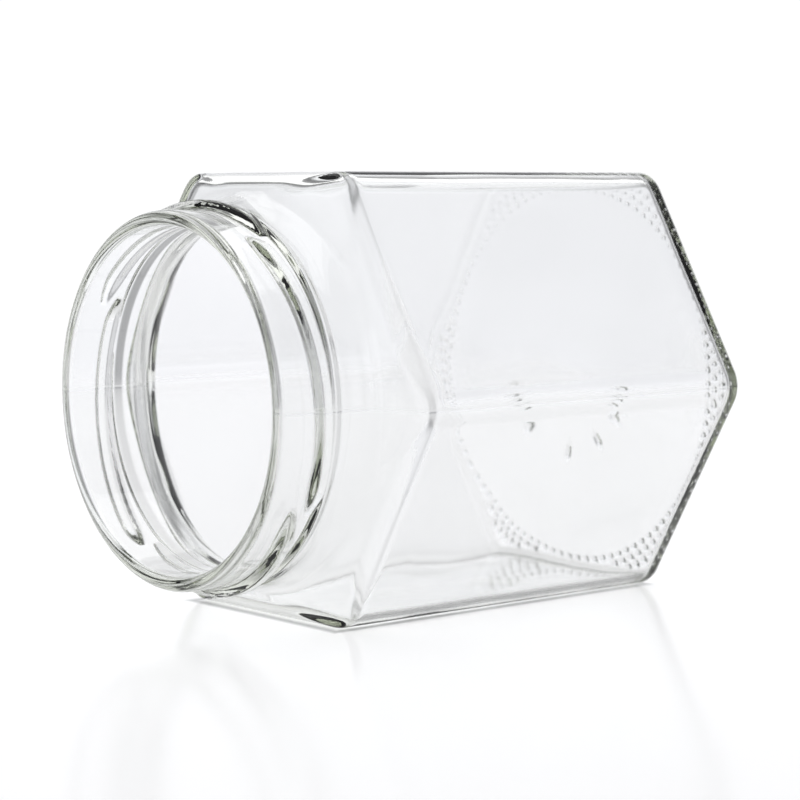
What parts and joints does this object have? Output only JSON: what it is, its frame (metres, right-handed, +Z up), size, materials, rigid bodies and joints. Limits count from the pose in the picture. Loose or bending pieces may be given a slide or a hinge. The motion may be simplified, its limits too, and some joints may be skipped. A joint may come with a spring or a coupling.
{
  "type": "hexagonal glass jar",
  "caption": "Empty hexagonal jar of clear glass for preserves or honey, with lugs round its neck for a twist-off lid, lying on one flat side without its lid.",
  "frame": {"origin": "on the resting surface, under the middle of the jar's bounding box", "axes": "+Z up; the jar's axis runs along Y, with the open mouth towards -Y and the base towards +Y; two of the six long edges point towards +X and -X"},
  "size_m": [0.0894, 0.0984, 0.079],
  "materials": {
    "clear_glass": "clear, fire-polished, with a faint green cast in the thick parts"
  },
  "bodies": {
    "root": {"glass_jar": "clear_glass"}
  },
  "joints": []
}
